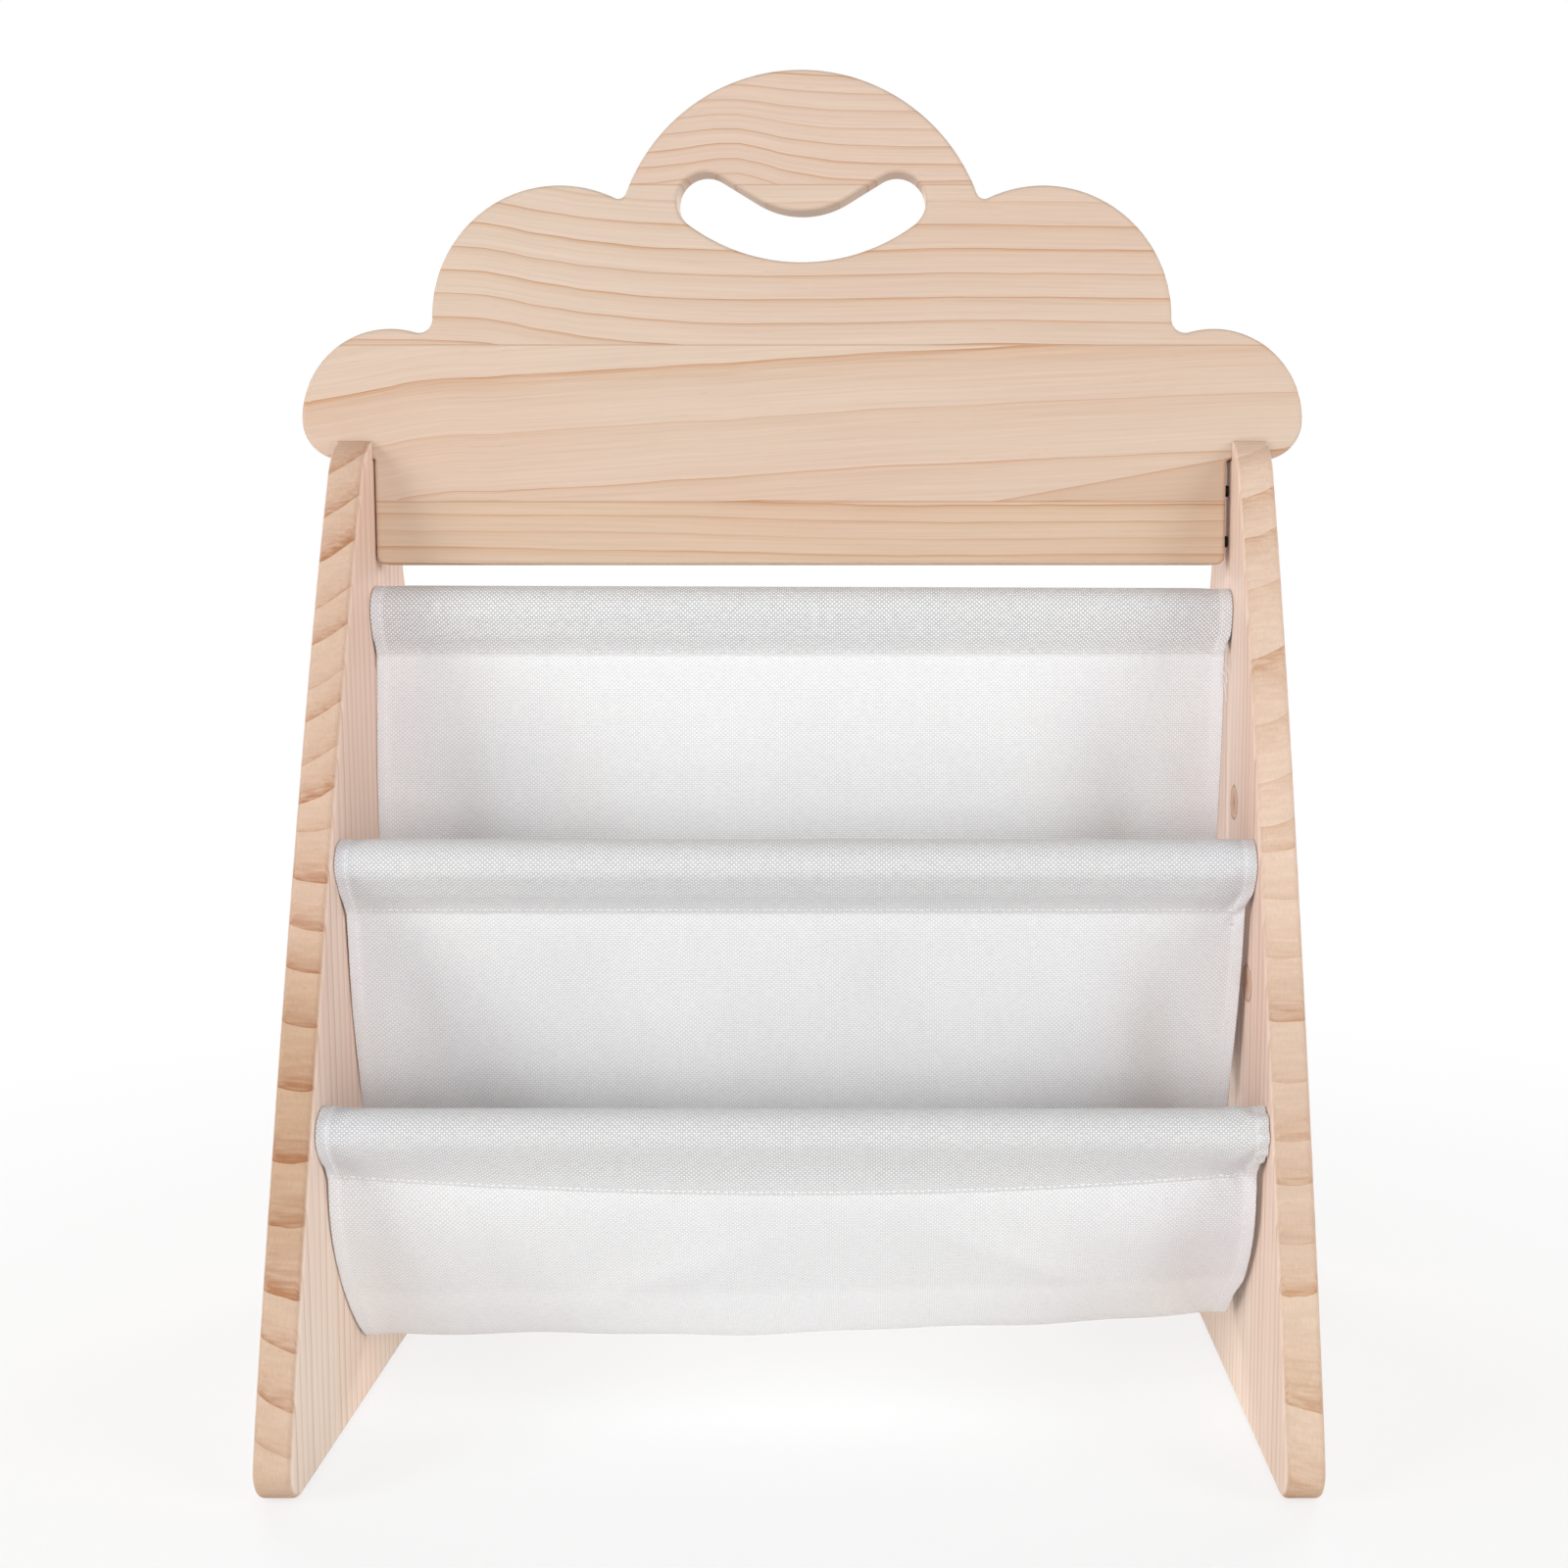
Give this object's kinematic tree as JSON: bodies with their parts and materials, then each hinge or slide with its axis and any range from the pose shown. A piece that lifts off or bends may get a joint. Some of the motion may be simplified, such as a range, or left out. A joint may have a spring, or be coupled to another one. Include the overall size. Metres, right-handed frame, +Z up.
{
  "type": "sling bookshelf",
  "caption": "Child's bookshelf with A-shaped wooden sides, a cloud-shaped header board with a hand hole, and canvas sling pockets hung on round dowels.",
  "frame": {"origin": "on the floor, midway between the two side panels and between their front and rear feet", "axes": "+Z up, +X to the viewer's right, -Y towards the open front where books are put in"},
  "size_m": [0.512, 0.356, 0.669],
  "materials": {
    "panel_wood": "clear matt lacquer on pine, upright grain",
    "header_wood": "clear matt lacquer on edge-glued pine, level grain",
    "dowel_wood": "bare pine",
    "canvas": "white woven canvas, matt",
    "black_steel": "black coating",
    "zinc_steel": "zinc plated"
  },
  "bodies": {
    "root": {"side_panel_left": "panel_wood", "side_panel_right": "panel_wood", "cloud_header": "header_wood", "top_dowel": "dowel_wood", "middle_dowel": "dowel_wood", "front_dowel": "dowel_wood", "rear_canvas": "canvas", "front_canvas": "canvas", "top_dowel_bolt_left": "black_steel", "top_dowel_sleeve_left": "zinc_steel", "middle_dowel_bolt_left": "black_steel", "middle_dowel_sleeve_left": "zinc_steel", "front_dowel_bolt_left": "black_steel", "front_dowel_sleeve_left": "zinc_steel", "header_bolt_lower_left": "black_steel", "barrel_nut_lower_left": "zinc_steel", "header_bolt_upper_left": "black_steel", "barrel_nut_upper_left": "zinc_steel", "top_dowel_bolt_right": "black_steel", "top_dowel_sleeve_right": "zinc_steel", "middle_dowel_bolt_right": "black_steel", "middle_dowel_sleeve_right": "zinc_steel", "front_dowel_bolt_right": "black_steel", "front_dowel_sleeve_right": "zinc_steel", "header_bolt_lower_right": "black_steel", "barrel_nut_lower_right": "zinc_steel", "header_bolt_upper_right": "black_steel", "barrel_nut_upper_right": "zinc_steel"}
  },
  "joints": []
}
